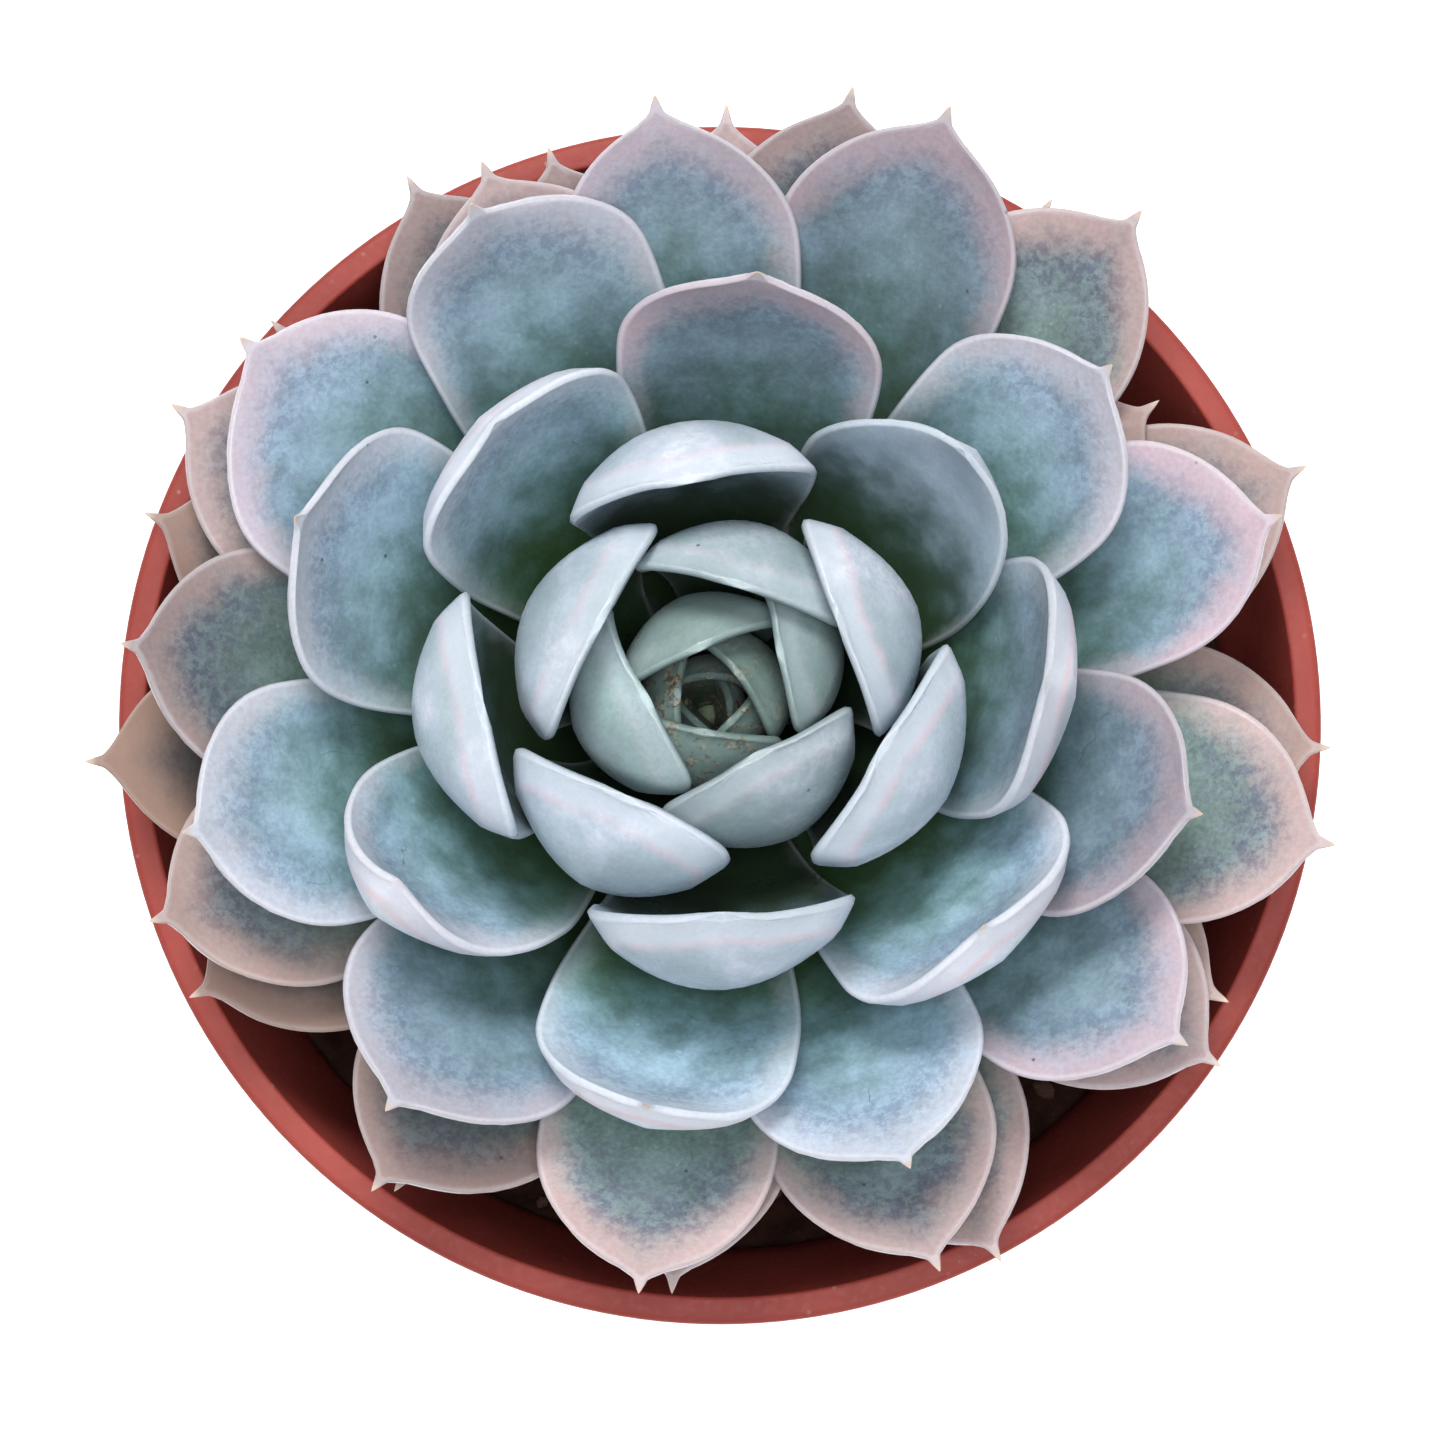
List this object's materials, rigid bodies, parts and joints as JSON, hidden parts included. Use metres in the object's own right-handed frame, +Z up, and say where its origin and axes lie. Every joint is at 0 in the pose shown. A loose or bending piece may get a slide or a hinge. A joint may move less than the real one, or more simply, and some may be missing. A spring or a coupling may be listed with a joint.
{
  "type": "potted succulent plant",
  "caption": "Rosette of thick spoon-shaped pale blue-green leaves with pointed tips, growing from soil in a small round brick-red plastic nursery pot.",
  "frame": {"origin": "on the pot's axis, on the plane the pot stands on", "axes": "+Z up along the pot's axis, the tall way; -Y toward the viewer of the picture, +X to the viewer's right"},
  "size_m": [0.1065, 0.1062, 0.1268],
  "materials": {
    "pot": "satin",
    "soil": "matte",
    "stem": "matte",
    "leaf_inner": "matte",
    "leaf_middle": "matte",
    "leaf_outer": "matte"
  },
  "bodies": {
    "root": {"pot": "pot", "soil": "soil", "stem": "stem", "leaf_01": "leaf_inner", "leaf_02": "leaf_inner", "leaf_03": "leaf_inner", "leaf_04": "leaf_inner", "leaf_05": "leaf_inner", "leaf_06": "leaf_inner", "leaf_07": "leaf_inner", "leaf_08": "leaf_inner", "leaf_09": "leaf_inner", "leaf_10": "leaf_inner", "leaf_11": "leaf_inner", "leaf_12": "leaf_inner", "leaf_13": "leaf_middle", "leaf_14": "leaf_middle", "leaf_15": "leaf_middle", "leaf_16": "leaf_middle", "leaf_17": "leaf_middle", "leaf_18": "leaf_middle", "leaf_19": "leaf_middle", "leaf_20": "leaf_middle", "leaf_21": "leaf_middle", "leaf_22": "leaf_middle", "leaf_23": "leaf_middle", "leaf_24": "leaf_middle", "leaf_25": "leaf_middle", "leaf_26": "leaf_middle", "leaf_27": "leaf_middle", "leaf_28": "leaf_middle", "leaf_29": "leaf_middle", "leaf_30": "leaf_middle", "leaf_31": "leaf_outer", "leaf_32": "leaf_outer", "leaf_33": "leaf_outer", "leaf_34": "leaf_outer", "leaf_35": "leaf_outer", "leaf_36": "leaf_outer", "leaf_37": "leaf_outer", "leaf_38": "leaf_outer", "leaf_39": "leaf_outer", "leaf_40": "leaf_outer", "leaf_41": "leaf_outer", "leaf_42": "leaf_outer", "leaf_43": "leaf_outer", "leaf_44": "leaf_outer", "leaf_45": "leaf_outer", "leaf_46": "leaf_outer", "leaf_47": "leaf_outer", "leaf_48": "leaf_outer", "leaf_49": "leaf_outer", "leaf_50": "leaf_outer", "leaf_51": "leaf_outer", "leaf_52": "leaf_outer", "leaf_53": "leaf_outer", "leaf_54": "leaf_outer", "leaf_55": "leaf_outer", "leaf_56": "leaf_outer"}
  },
  "joints": []
}
